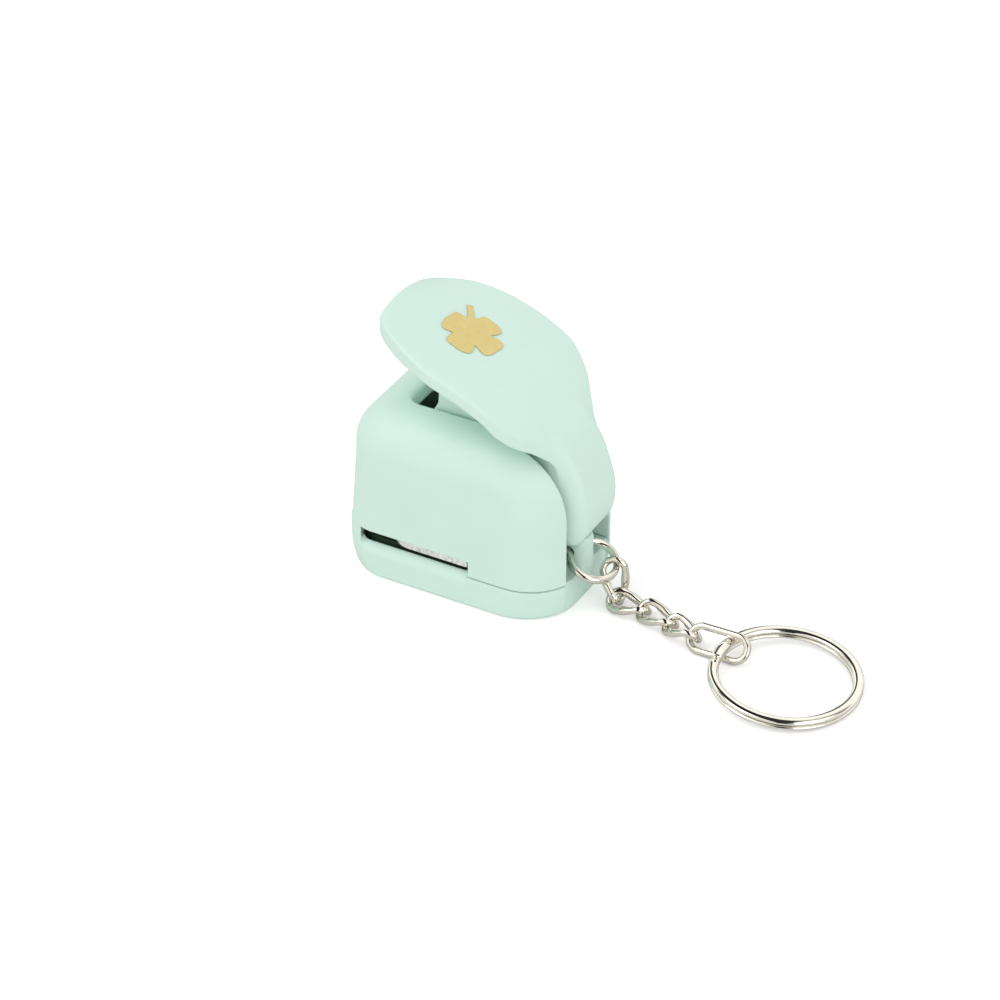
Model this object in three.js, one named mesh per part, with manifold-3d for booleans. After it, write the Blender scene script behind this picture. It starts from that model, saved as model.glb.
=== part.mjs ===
// Pocket craft punch on a key chain: a lever presses a clover shaped cutter through a steel die.
// Millimetres, +Z up. The lever's tip is at -Y, its hinge and the chain are at +Y, paper goes in from the sides
// along X, the body rests on Z = 0, and the origin is on the middle of the base's underside.
import * as THREE from "three";
import { mergeVertices } from "three/addons/utils/BufferGeometryUtils.js";
import Module from "manifold-3d";

const wasm = await Module();
wasm.setup();

// Body: plan outline, base height and the cover above it
const bodyLength = 40;
const bodyWidth = 26.8;
const frontCornerRadius = 6;
const rearCornerRadius = 10.3;
const baseHeight = 5.85;
const baseEdgeRadius = 0.8;
const baseFloor = 1.5;
const baseWall = 2;
const mouthRimChamfer = 0.6;
const coverTop = 30.6;
const coverWall = 1.8;
const coverSideFillet = 7;
const coverFrontFillet = 9;
const coverRearFillet = 10.5;
const coverDraft = 0.6;
const seamGap = 0.3;
const coverCornerLeast = 1.2;

// Paper mouth and throat
const mouthTop = 8.8;
const mouthFrontGap = 4;
const mouthRearGap = 15.3;
const throatFloor = 6.4;
const throatHeight = 0.9;

// Opening in the cover's top and channel at its rear
const openingWidth = 10;
const openingFrontGap = 7.6;
const cheekWidth = 5.9;
const channelLength = 11.2;
const channelWall = 1.5;
const channelRecess = 0.45;

// Steel plates
const diePlateThickness = 2;
const diePlateMargin = 0.5;
const diePlateCornerRadius = 3.5;
const guidePlateThickness = 1.3;
const guidePlateSideGap = 0.6;
const guidePlateNoseRadius = 8.7;
const guidePlateAheadOfCutter = 0.6;
const guidePlateCornerRadius = 1;
const guidePlateTailInset = 2.9;
const plateBehindMouth = 2.2;
const plateGap = 0.05;
const guidePlateEndGap = 0.4;
const stopPlateLength = 5.4;

// Cutter, plunger and return spring, on one upright axis
const cutterBehindFront = 11;
const cutterLeafReach = 4.9;
const cutterStemReach = 6.6;
const cutterClearance = 0.12;
const cutterRise = 0.15;
const exitClearance = 0.4;
const springWire = 0.9;
const springMeanRadius = 7.65;
const springTurns = 5;
const springHeight = 11.4;
const plungerFlangeRadius = 8.3;
const plungerFlangeThickness = 1.4;
const plungerBossRadius = 3.4;
const plungerBossHeight = 0.9;

// Clover outline, as shares of the leaf's reach, and its turn seen from above
const cloverNotchShare = 0.3;
const cloverDimpleShare = 0.1;
const cloverDimpleAngleShare = 0.16;
const cloverStemWidthShare = 0.17;
const cloverTurn = THREE.MathUtils.degToRad(-15);
const cloverSteps = 64;

// Lever: pivot, neck, rib and pad
const pivotBeforeRear = 5.2;
const pivotHeight = 15.4;
const pinRadius = 1.2;
const pinClearance = 0.15;
const pinSeatDepth = 1.2;
const neckSideGap = 1;
const neckBossRadius = 3.7;
const neckBehindPivot = 6.4;
const ribSideGap = 0.5;
const ribNoseRadius = 1.2;
const ribNoseGap = 0.3;
const padSideOverhang = 0.6;
const padTopHeight = 46.2;
const padRearHeight = 29.4;
const padRearGap = 2.9;
const padThickness = 2.6;
const padCrown = 0.7;
const padEdgeRadius = 0.9;
const padFrontGap = 3.7;
const ribRearShare = 0.9;

// Foil on the pad
const foilLeafReach = 5.9;
const foilStemReach = 8.2;
const foilThickness = 0.15;
const foilLift = 0.12;
const foilPlaceShare = 0.428;

// Screws
const plateScrewInset = 4.9;
const plateScrewBehindMouth = -0.5;
const plateScrewRadius = 0.85;
const plateScrewHeadRadius = 1.6;
const plateScrewHeadHeight = 0.9;
const plateScrewLength = 6.4;
const coverScrewInset = 3.2;
const coverScrewBeforeRear = 9;
const coverScrewRadius = 0.7;
const coverScrewHeadRadius = 1.5;
const coverScrewHeadHeight = 0.8;
const coverScrewLength = 11;
const screwClearance = 0.15;
const screwPillarWall = 1.1;

// Lug at the rear that holds the jump ring
const lugRadius = 2.1;
const lugInset = 0.1;
const lugTop = 11.1;
const lugWebLength = 6;
const ringHoleHeight = 8.3;
const ringHoleRadius = 1.4;
const ringHoleBeforeRear = 3.2;

// Jump ring, chain and split ring
const wireRadius = 0.6;
const jumpRingRadius = 4;
const jumpRingDroop = THREE.MathUtils.degToRad(22);
const linkLength = 7;
const linkHalfWidth = 1.85;
const endLinkLength = 10.1;
const endLinkHalfWidth = 2.05;
const splitRingRadius = 12.5;
const splitBandWidth = 1.8;
const splitBandHeight = 1.75;
const splitCoilGap = 0.3;
const splitRingTilt = THREE.MathUtils.degToRad(3.6);
const splitOpening = THREE.MathUtils.degToRad(14);
const splitStart = THREE.MathUtils.degToRad(-66);
const splitClimbStart = THREE.MathUtils.degToRad(315);
const splitClimbTurn = THREE.MathUtils.degToRad(90);
const splitBandCutShare = 0.3;

// Middles of the chain's links from the foot of the rear end, as shares of a link's length: across, back and up
const linkPlaceShares = [
  [0.004, 0.652, 0.544],
  [0.276, 1.14, 0.21],
  [0.376, 1.938, 0.217],
  [0.646, 2.698, 0.276],
];
const endLinkPlaceShares = [0.789, 3.689, 0.326];
const splitRingPlaceShares = [1.06, 5.503];

// How each link lies, the end link last: heading, dip, and lean at its start and at its end
const linkTurns = [
  [44.4, 55.9, 32.3, -60],
  [2.7, 1.7, 46.6, -40.1],
  [13.5, 0.7, 45.3, -43.4],
  [23.3, -6.2, 39.7, -50.7],
  [-0.6, -1.1, 51.2, 52.5],
].map((row) => row.map((angle) => THREE.MathUtils.degToRad(angle)));

// Numbers of steps on round stretches
const cornerSteps = 6;
const filletSteps = 6;
const rimSteps = 3;
const holeSteps = 28;
const wireSides = 8;
const springSteps = 12;
const ringSteps = 32;
const linkEndSteps = 8;
const splitRingSteps = 96;

// How far cutting shapes run past what they cut
const overrun = 2;

const mint = { color: 0xbfe5d8, roughness: 0.45, metalness: 0 };
const steel = { color: 0xb9b9b6, roughness: 0.3, metalness: 1 };
const nickel = { color: 0xcfcabf, roughness: 0.2, metalness: 1 };
const gold = { color: 0xc9a24a, roughness: 0.45, metalness: 0.6 };
const white = { color: 0xe9ebe8, roughness: 0.5, metalness: 0 };

// Places that follow from the sizes above
const front = -bodyLength / 2;
const rear = bodyLength / 2;
const side = bodyWidth / 2;
const mouthFront = front + mouthFrontGap;
const mouthEnd = rear - mouthRearGap;
const throatTop = throatFloor + throatHeight;
const guideTop = throatTop + guidePlateThickness;
const dieBottom = throatFloor - diePlateThickness;
const cutterY = front + cutterBehindFront;
const cutterFoot = throatTop + cutterRise;
const springFoot = guideTop + plateGap;
const springHead = springFoot + springHeight;
const flangeFoot = springHead + plateGap;
const plungerTop = flangeFoot + plungerFlangeThickness + plungerBossHeight;
const pivotY = rear - pivotBeforeRear;
const channelFront = rear - channelLength;
const channelSide = side - cheekWidth;
const openingFront = front + openingFrontGap;
const padFront = front + padFrontGap;
const padLength = rear - padRearGap - padFront;
const padDrop = padTopHeight - padRearHeight;
const padSide = side + padSideOverhang;
const plateRear = mouthEnd + plateBehindMouth;
const plateScrewSpacing = bodyWidth - 2 * plateScrewInset;
const plateScrewY = mouthEnd + plateScrewBehindMouth;
const coverScrewSpacing = bodyWidth - 2 * coverScrewInset;
const coverScrewY = rear - coverScrewBeforeRear;
const ringHoleY = rear - ringHoleBeforeRear;
const guidePlateTailWidth = bodyWidth - 2 * guidePlateTailInset;

const craftPunch = new THREE.Group();

// A closed three.js geometry as a solid that can be joined and cut.
function solid(geometry) {
  const bare = new THREE.BufferGeometry();
  bare.setAttribute("position", geometry.getAttribute("position"));
  bare.setIndex(geometry.index);
  const merged = mergeVertices(bare);
  const vertProperties = merged.attributes.position.array;
  const triVerts = new Uint32Array(merged.index.array);
  return new wasm.Manifold(new wasm.Mesh({ numProp: 3, vertProperties, triVerts }));
}

// A solid as a three.js geometry with flat faces.
function geometryOf(body) {
  const mesh = body.getMesh();
  const shared = new THREE.BufferGeometry();
  shared.setAttribute("position", new THREE.BufferAttribute(mesh.vertProperties, mesh.numProp));
  shared.setIndex(new THREE.BufferAttribute(mesh.triVerts, 1));
  const flat = shared.toNonIndexed();
  flat.computeVertexNormals();
  return flat;
}

function addPart(name, body, look) {
  const geometry = body.isBufferGeometry ? body : geometryOf(body);
  const mesh = new THREE.Mesh(geometry, new THREE.MeshStandardMaterial(look));
  mesh.name = name;
  craftPunch.add(mesh);
}

// A box between two corners.
function boxSolid(x0, x1, y0, y1, z0, z1) {
  const box = new THREE.BoxGeometry(x1 - x0, y1 - y0, z1 - z0);
  box.translate((x0 + x1) / 2, (y0 + y1) / 2, (z0 + z1) / 2);
  return solid(box);
}

// An upright cylinder.
function postSolid(radius, x, y, z0, z1) {
  const post = new THREE.CylinderGeometry(radius, radius, z1 - z0, holeSteps);
  post.rotateX(Math.PI / 2);
  post.translate(x, y, (z0 + z1) / 2);
  return solid(post);
}

// A cylinder along X, centred on X = 0.
function crossSolid(radius, length, y, z) {
  const rod = new THREE.CylinderGeometry(radius, radius, length, holeSteps);
  rod.rotateZ(Math.PI / 2);
  rod.translate(0, y, z);
  return solid(rod);
}

// A closed skin over a row of rings with as many points each, with flat ends.
function loft(rings) {
  const count = rings[0].length;
  const points = rings.flat();
  const ends = [rings[0], rings[rings.length - 1]];
  ends.forEach((ring) => points.push(middleOf(ring)));
  const index = [];
  for (let r = 0; r < rings.length - 1; r++) {
    for (let i = 0; i < count; i++) {
      const a = r * count + i;
      const b = r * count + ((i + 1) % count);
      index.push(a, b, b + count, a, b + count, a + count);
    }
  }
  const lastRing = (rings.length - 1) * count;
  for (let i = 0; i < count; i++) {
    const next = (i + 1) % count;
    index.push(points.length - 2, next, i);
    index.push(points.length - 1, lastRing + i, lastRing + next);
  }
  return geometryFrom(points, index);
}

function middleOf(ring) {
  const sum = new THREE.Vector3();
  ring.forEach((point) => sum.add(point));
  return sum.divideScalar(ring.length);
}

function geometryFrom(points, index) {
  const geometry = new THREE.BufferGeometry().setFromPoints(points);
  geometry.setIndex(index);
  return geometry;
}

// Wire of round section bent along a closed row of points round a middle.
function closedWire(path, radius, middle) {
  const count = path.length;
  const points = [];
  const index = [];
  path.forEach((point, i) => {
    const ahead = path[(i + 1) % count];
    const behind = path[(i - 1 + count) % count];
    const along = ahead.clone().sub(behind).normalize();
    const out = squareTo(along, point.clone().sub(middle));
    const over = along.clone().cross(out);
    for (let k = 0; k < wireSides; k++) {
      const turn = (2 * Math.PI * k) / wireSides;
      const spoke = out.clone().multiplyScalar(radius * Math.cos(turn));
      spoke.addScaledVector(over, radius * Math.sin(turn));
      points.push(point.clone().add(spoke));
      const a = i * wireSides + k;
      const b = i * wireSides + ((k + 1) % wireSides);
      const c = ((i + 1) % count) * wireSides + k;
      const d = ((i + 1) % count) * wireSides + ((k + 1) % wireSides);
      index.push(a, b, d, a, d, c);
    }
  });
  return geometryFrom(points, index);
}

// The unit vector square to a direction that lies nearest to another.
function squareTo(along, wanted) {
  return wanted.clone().addScaledVector(along, -wanted.dot(along)).normalize();
}

// Rounded plan outline at one height, counterclockwise seen from above.
function planRing(inset, z) {
  const halfWidth = side - inset.side;
  const y0 = front + inset.front;
  const y1 = rear - inset.rear;
  const frontRadius = Math.max(frontCornerRadius - Math.min(inset.side, inset.front), coverCornerLeast);
  const rearRadius = Math.max(rearCornerRadius - Math.min(inset.side, inset.rear), coverCornerLeast);
  const corners = [
    [halfWidth - rearRadius, y1 - rearRadius, rearRadius],
    [rearRadius - halfWidth, y1 - rearRadius, rearRadius],
    [frontRadius - halfWidth, y0 + frontRadius, frontRadius],
    [halfWidth - frontRadius, y0 + frontRadius, frontRadius],
  ];
  return corners.flatMap(([x, y, radius], quarter) => {
    const arc = [];
    for (let k = 0; k <= cornerSteps; k++) {
      const turn = (Math.PI / 2) * (quarter + k / cornerSteps);
      arc.push(new THREE.Vector3(x + radius * Math.cos(turn), y + radius * Math.sin(turn), z));
    }
    return arc;
  });
}

function evenInset(inset) {
  return { side: inset, front: inset, rear: inset };
}

// How far a rounded edge has come in at a depth below the top.
function filletInset(radius, depth) {
  const left = Math.max(radius - depth, 0);
  return radius - Math.sqrt(radius * radius - left * left);
}

// The cover's outer form, or, with a wall, the form of its hollow.
function coverForm(foot, wall) {
  const top = coverTop - wall;
  const inset = (depth) => {
    const draft = (coverDraft * (top - depth - foot)) / (coverTop - baseHeight);
    return {
      side: wall + filletInset(coverSideFillet - wall, depth),
      front: wall + draft + filletInset(coverFrontFillet - wall, depth),
      rear: wall + filletInset(coverRearFillet - wall, depth),
    };
  };
  const rings = [planRing(inset(top - foot), foot)];
  for (let k = 0; k <= filletSteps; k++) {
    const depth = (coverRearFillet - wall) * (1 - Math.sin((Math.PI / 2) * (k / filletSteps)));
    rings.push(planRing(inset(depth), top - depth));
  }
  return solid(loft(rings));
}

// Flat plate with rounded front corners.
function plateSolid(width, y0, y1, radius, z0, z1) {
  const half = width / 2;
  const outline = new THREE.Shape();
  outline.moveTo(half, y1);
  outline.lineTo(-half, y1);
  outline.lineTo(-half, y0 + radius);
  outline.absarc(radius - half, y0 + radius, radius, Math.PI, Math.PI * 1.5, false);
  outline.lineTo(half - radius, y0);
  outline.absarc(half - radius, y0 + radius, radius, Math.PI * 1.5, Math.PI * 2, false);
  return extrudeUp(outline, z0, z1);
}

function extrudeUp(outline, z0, z1) {
  const geometry = new THREE.ExtrudeGeometry(outline, {
    depth: z1 - z0,
    bevelEnabled: false,
    curveSegments: cornerSteps,
  });
  geometry.translate(0, 0, z0);
  return solid(geometry);
}

// A side outline of Y and Z points, extruded to a width along X.
function extrudeAcross(outline, width) {
  const geometry = new THREE.ExtrudeGeometry(outline, {
    depth: width,
    bevelEnabled: false,
    curveSegments: cornerSteps,
  });
  geometry.translate(0, 0, -width / 2);
  geometry.rotateY(Math.PI / 2);
  geometry.rotateX(Math.PI / 2);
  return solid(geometry);
}

// Four leaf clover with a stem, as one outline round the origin.
function cloverShape(leafReach, stemReach, margin) {
  const points = [];
  const stemHalf = (cloverStemWidthShare * leafReach) / 2 + margin;
  const stemTurn = cloverTurn - Math.PI * 0.75;
  for (let k = 0; k < cloverSteps; k++) {
    const turn = stemTurn + (2 * Math.PI * (k + 0.5)) / cloverSteps;
    const leafTurn = Math.abs(Math.sin(2 * (turn - stemTurn)));
    const fromLeafAxis = 1 - leafTurn;
    const dimple = cloverDimpleShare * Math.max(0, 1 - fromLeafAxis / cloverDimpleAngleShare);
    const reach = cloverNotchShare + (1 - cloverNotchShare) * Math.sqrt(leafTurn) - dimple;
    points.push(planPoint(leafReach * reach + margin, turn));
  }
  const across = planPoint(stemHalf, stemTurn + Math.PI / 2);
  const stemTip = planPoint(stemReach + margin, stemTurn);
  points.push(stemTip.clone().sub(across), stemTip.clone().add(across));
  return new THREE.Shape(points);
}

function planPoint(radius, turn) {
  return new THREE.Vector2(radius * Math.cos(turn), radius * Math.sin(turn));
}

function cloverSolid(leafReach, stemReach, margin, x, y, z0, z1) {
  return extrudeUp(cloverShape(leafReach, stemReach, margin), z0, z1).translate([x, y, 0]);
}

function mirroredPosts(radius, spacing, y, z0, z1) {
  const left = postSolid(radius, -spacing / 2, y, z0, z1);
  return left.add(postSolid(radius, spacing / 2, y, z0, z1));
}

// Base: a tray with a floor, a lip that closes the mouth's front, a lug for the ring, screw pillars
// and the hole that the confetti drops through.
function makeBase() {
  const rings = [];
  for (let k = 0; k <= filletSteps; k++) {
    const height = baseEdgeRadius * (1 - Math.cos((Math.PI / 2) * (k / filletSteps)));
    rings.push(planRing(evenInset(filletInset(baseEdgeRadius, height)), height));
  }
  rings.push(planRing(evenInset(0), baseHeight));
  const outer = solid(loft(rings));
  const inner = solid(loft([
    planRing(evenInset(channelRecess), -overrun),
    planRing(evenInset(channelRecess), baseHeight + overrun),
  ]));
  const channel = boxSolid(-channelSide, channelSide, 0, rear + overrun, -overrun, baseHeight + overrun);
  const hollow = plateSolid(
    bodyWidth - 2 * baseWall,
    front + baseWall,
    plateRear + diePlateMargin,
    frontCornerRadius - baseWall,
    baseFloor,
    mouthTop + overrun,
  );
  const lip = solid(loft([
    planRing(evenInset(0), baseHeight),
    planRing(evenInset(0), mouthTop - seamGap),
  ])).intersect(boxSolid(-bodyWidth, bodyWidth, front - overrun, mouthFront, 0, mouthTop));
  const rim = solid(loft([
    planRing(evenInset(0), baseHeight),
    planRing(evenInset(mouthRimChamfer), throatFloor - plateGap),
  ])).intersect(boxSolid(-bodyWidth, bodyWidth, front - overrun, mouthEnd - seamGap, 0, mouthTop));
  let base = outer.add(lip).add(rim).subtract(channel.subtract(inner)).subtract(hollow);
  base = base.add(makeLug());
  const plateBore = plateScrewRadius + screwClearance;
  const plateBoss = plateBore + screwPillarWall;
  base = base.add(mirroredPosts(plateBoss, plateScrewSpacing, plateScrewY, 0, dieBottom - plateGap));
  const plateBoreFoot = guideTop - plateScrewLength - seamGap;
  base = base.subtract(
    mirroredPosts(plateBore, plateScrewSpacing, plateScrewY, plateBoreFoot, baseHeight + overrun),
  );
  const coverBore = coverScrewRadius + screwClearance;
  base = base.add(
    mirroredPosts(coverBore + screwPillarWall, coverScrewSpacing, coverScrewY, 0, baseHeight),
  );
  const headBore = coverScrewHeadRadius + screwClearance;
  const headDepth = coverScrewHeadHeight + screwClearance;
  base = base.subtract(
    mirroredPosts(coverBore, coverScrewSpacing, coverScrewY, -overrun, baseHeight + overrun),
  );
  base = base.subtract(mirroredPosts(headBore, coverScrewSpacing, coverScrewY, -overrun, headDepth));
  const exit = postSolid(cutterStemReach + exitClearance, 0, cutterY, -overrun, baseFloor + overrun);
  addPart("base_tray", base.subtract(exit), mint);
}

// Upright lug with a cross hole, rounded at the rear, on a web.
function makeLug() {
  const lugY = rear - lugInset - lugRadius;
  const column = postSolid(lugRadius, 0, lugY, 0, lugTop);
  const webFront = lugY - lugWebLength;
  const webTop = pivotHeight - neckBossRadius - 2 * seamGap;
  const web = boxSolid(-lugRadius, lugRadius, webFront, lugY, 0, Math.min(webTop, lugTop));
  const hole = crossSolid(ringHoleRadius, bodyWidth, ringHoleY, ringHoleHeight);
  return column.add(web).subtract(hole);
}

// Cover: a shell cut away above the paper mouth, with the lever's opening on top and a walled channel
// at the rear.
function makeCover() {
  const foot = baseHeight + seamGap;
  const outer = coverForm(foot, 0);
  const channelOuter = channelSide + channelWall;
  const walled = boxSolid(
    -channelOuter, channelOuter, channelFront - channelWall, rear + overrun, 0, coverTop + overrun,
  );
  const hollow = coverForm(foot - overrun, coverWall).subtract(walled);
  const channel = boxSolid(-channelSide, channelSide, channelFront, rear + overrun, 0, coverTop + overrun);
  const opening = boxSolid(
    -openingWidth / 2, openingWidth / 2, openingFront, channelFront + overrun, mouthTop, coverTop + overrun,
  );
  const mouth = boxSolid(-bodyWidth, bodyWidth, front - overrun, mouthEnd, 0, mouthTop);
  const bossRadius = coverScrewRadius + screwPillarWall;
  const bossTop = coverScrewHeadHeight + coverScrewLength + 2 * seamGap + screwPillarWall;
  const bosses = mirroredPosts(bossRadius, coverScrewSpacing, coverScrewY, foot, bossTop);
  const boreTop = bossTop - screwPillarWall;
  const bores = mirroredPosts(
    coverScrewRadius + screwClearance, coverScrewSpacing, coverScrewY, 0, boreTop,
  );
  const pinBore = crossSolid(
    pinRadius + pinClearance, 2 * (channelSide + pinSeatDepth + pinClearance), pivotY, pivotHeight,
  );
  const shell = outer.subtract(hollow).add(bosses);
  const cover = shell.subtract(channel).subtract(opening).subtract(mouth).subtract(bores).subtract(pinBore);
  addPart("top_cover", cover, mint);
}

// Die and guide plates, with the stop plate that sets the throat between them, and their screws.
function makePlates() {
  const innerWidth = bodyWidth - 2 * baseWall;
  const dieWidth = innerWidth - 2 * diePlateMargin;
  const dieFront = front + baseWall + diePlateMargin;
  const bores = mirroredPosts(
    plateScrewRadius + screwClearance, plateScrewSpacing, plateScrewY, 0, guideTop + overrun,
  );
  const punchHole = cloverSolid(
    cutterLeafReach, cutterStemReach, cutterClearance, 0, cutterY, 0, guideTop + overrun,
  );
  const die = plateSolid(dieWidth, dieFront, plateRear, diePlateCornerRadius, dieBottom, throatFloor);
  addPart("die_plate", die.subtract(bores).subtract(punchHole), steel);

  const wide = plateSolid(
    bodyWidth - 2 * guidePlateSideGap,
    cutterY - guidePlateAheadOfCutter,
    mouthEnd - guidePlateEndGap,
    guidePlateCornerRadius,
    throatTop,
    guideTop,
  );
  const nose = postSolid(guidePlateNoseRadius, 0, cutterY, throatTop, guideTop);
  const tail = boxSolid(
    -guidePlateTailWidth / 2, guidePlateTailWidth / 2, 0, plateRear, throatTop, guideTop,
  );
  addPart("guide_plate", wide.add(tail).add(nose).subtract(bores).subtract(punchHole), steel);

  const stop = boxSolid(
    -guidePlateTailWidth / 2, guidePlateTailWidth / 2,
    plateRear - stopPlateLength, plateRear,
    throatFloor + plateGap, throatTop - plateGap,
  );
  addPart("paper_stop", stop.subtract(bores), steel);

  [-1, 1].forEach((hand) => {
    const x = (hand * plateScrewSpacing) / 2;
    const head = postSolid(
      plateScrewHeadRadius, x, plateScrewY, guideTop + plateGap, guideTop + plateGap + plateScrewHeadHeight,
    );
    const shank = postSolid(
      plateScrewRadius, x, plateScrewY, guideTop - plateScrewLength, guideTop + plateScrewHeadHeight,
    );
    const name = hand < 0 ? "plate_screw_left" : "plate_screw_right";
    addPart(name, head.add(shank), steel);
  });
}

// Screws that come up through the base into the cover's bosses.
function makeCoverScrews() {
  [-1, 1].forEach((hand) => {
    const x = (hand * coverScrewSpacing) / 2;
    const head = postSolid(
      coverScrewHeadRadius, x, coverScrewY, screwClearance, coverScrewHeadHeight,
    );
    const shank = postSolid(
      coverScrewRadius, x, coverScrewY, screwClearance, coverScrewHeadHeight + coverScrewLength,
    );
    const name = hand < 0 ? "cover_screw_left" : "cover_screw_right";
    addPart(name, head.add(shank), steel);
  });
}

// Cutter, the plunger on top of it and the return spring round both.
function makeCutter() {
  const cutter = cloverSolid(
    cutterLeafReach, cutterStemReach, 0, 0, cutterY, cutterFoot, flangeFoot - plateGap,
  );
  addPart("clover_cutter", cutter, steel);
  const flangeTop = flangeFoot + plungerFlangeThickness;
  const flange = postSolid(plungerFlangeRadius, 0, cutterY, flangeFoot, flangeTop);
  const boss = postSolid(plungerBossRadius, 0, cutterY, flangeFoot, plungerTop);
  addPart("plunger", flange.add(boss), white);
  addPart("return_spring", makeSpring(), steel);
}

function makeSpring() {
  const total = springTurns * springSteps;
  const rise = springHeight - springWire;
  const rings = [];
  for (let k = 0; k <= total; k++) {
    const turn = (2 * Math.PI * k) / springSteps;
    const out = new THREE.Vector3(Math.cos(turn), Math.sin(turn), 0);
    const z = springFoot + springWire / 2 + (rise * k) / total;
    const middle = new THREE.Vector3(0, cutterY, z).addScaledVector(out, springMeanRadius);
    const ring = [];
    for (let s = 0; s < wireSides; s++) {
      const spin = (2 * Math.PI * s) / wireSides;
      const spoke = out.clone().multiplyScalar((springWire / 2) * Math.cos(spin));
      spoke.z -= (springWire / 2) * Math.sin(spin);
      ring.push(middle.clone().add(spoke));
    }
    rings.push(ring);
  }
  return solid(loft(rings));
}

// Pad stations from the front edge back: along the pad, half width and height lost, each as a share.
const padStationShares = [
  [0, 0.33, 0.006],
  [0.012, 0.43, 0.002],
  [0.04, 0.53, 0],
  [0.1, 0.64, 0.012],
  [0.22, 0.79, 0.054],
  [0.3, 0.885, 0.101],
  [0.4, 0.964, 0.167],
  [0.49, 1, 0.226],
  [0.57, 1, 0.286],
  [0.645, 0.99, 0.357],
  [0.735, 0.965, 0.458],
  [0.795, 0.915, 0.548],
  [0.87, 0.8, 0.685],
  [0.92, 0.67, 0.792],
  [0.955, 0.58, 0.875],
  [1, 0.46, 1],
];

// Section of the pad: flat underneath, rounded rims and a low crown.
function padRing(y, half, top) {
  const rim = padEdgeRadius;
  const low = top - padThickness;
  const ring = [];
  const corner = (x, z, from) => {
    for (let k = 0; k <= rimSteps; k++) {
      const turn = from + (Math.PI / 2) * (k / rimSteps);
      ring.push(new THREE.Vector3(x + rim * Math.sin(turn), y, z + rim * Math.cos(turn)));
    }
  };
  const span = half - rim;
  for (let k = 1; k < filletSteps; k++) {
    const share = (2 * k) / filletSteps - 1;
    ring.push(new THREE.Vector3(span * share, y, top + padCrown * (1 - share * share)));
  }
  corner(span, top - rim, 0);
  corner(span, low + rim, Math.PI / 2);
  corner(-span, low + rim, Math.PI);
  corner(-span, top - rim, Math.PI * 1.5);
  return ring;
}

function padForm() {
  return solid(loft(padStationShares.map(([along, wide, drop]) => padRing(
    padFront + padLength * along,
    padSide * wide,
    padTopHeight - padDrop * drop,
  ))));
}

// Height of the pad's top rim at a place along Y.
function padTopAt(y) {
  const along = (y - padFront) / padLength;
  const next = padStationShares.findIndex(([place]) => place >= along);
  const [place0, , drop0] = padStationShares[next - 1];
  const [place1, , drop1] = padStationShares[next];
  const share = (along - place0) / (place1 - place0);
  return padTopHeight - padDrop * (drop0 + (drop1 - drop0) * share);
}

// Rear outline of the neck from the pad down, as shares of its reach behind the pivot and of its height.
const neckRearShares = [
  [-0.1, 1.02],
  [0.25, 0.9],
  [0.5, 0.77],
  [0.72, 0.62],
  [0.88, 0.46],
  [0.98, 0.3],
  [1, 0.14],
  [0.95, -0.02],
  [0.8, -0.135],
];

// Front outline of the neck, as shares of its boss radius before the pivot and of its height.
const neckFrontShares = [
  [0.5, 1],
  [1, 0.5],
];

// Front outline of the rib: towards the pivot and up to the pad, as shares.
const ribFrontShares = [
  [-0.06, 0.02],
  [0.1, 0.28],
  [0.13, 0.4],
];

// Top of the rib inside the pad: places towards the pivot, as shares.
const ribTopShares = [0.14, 0.4, 0.62, 0.85];

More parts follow.
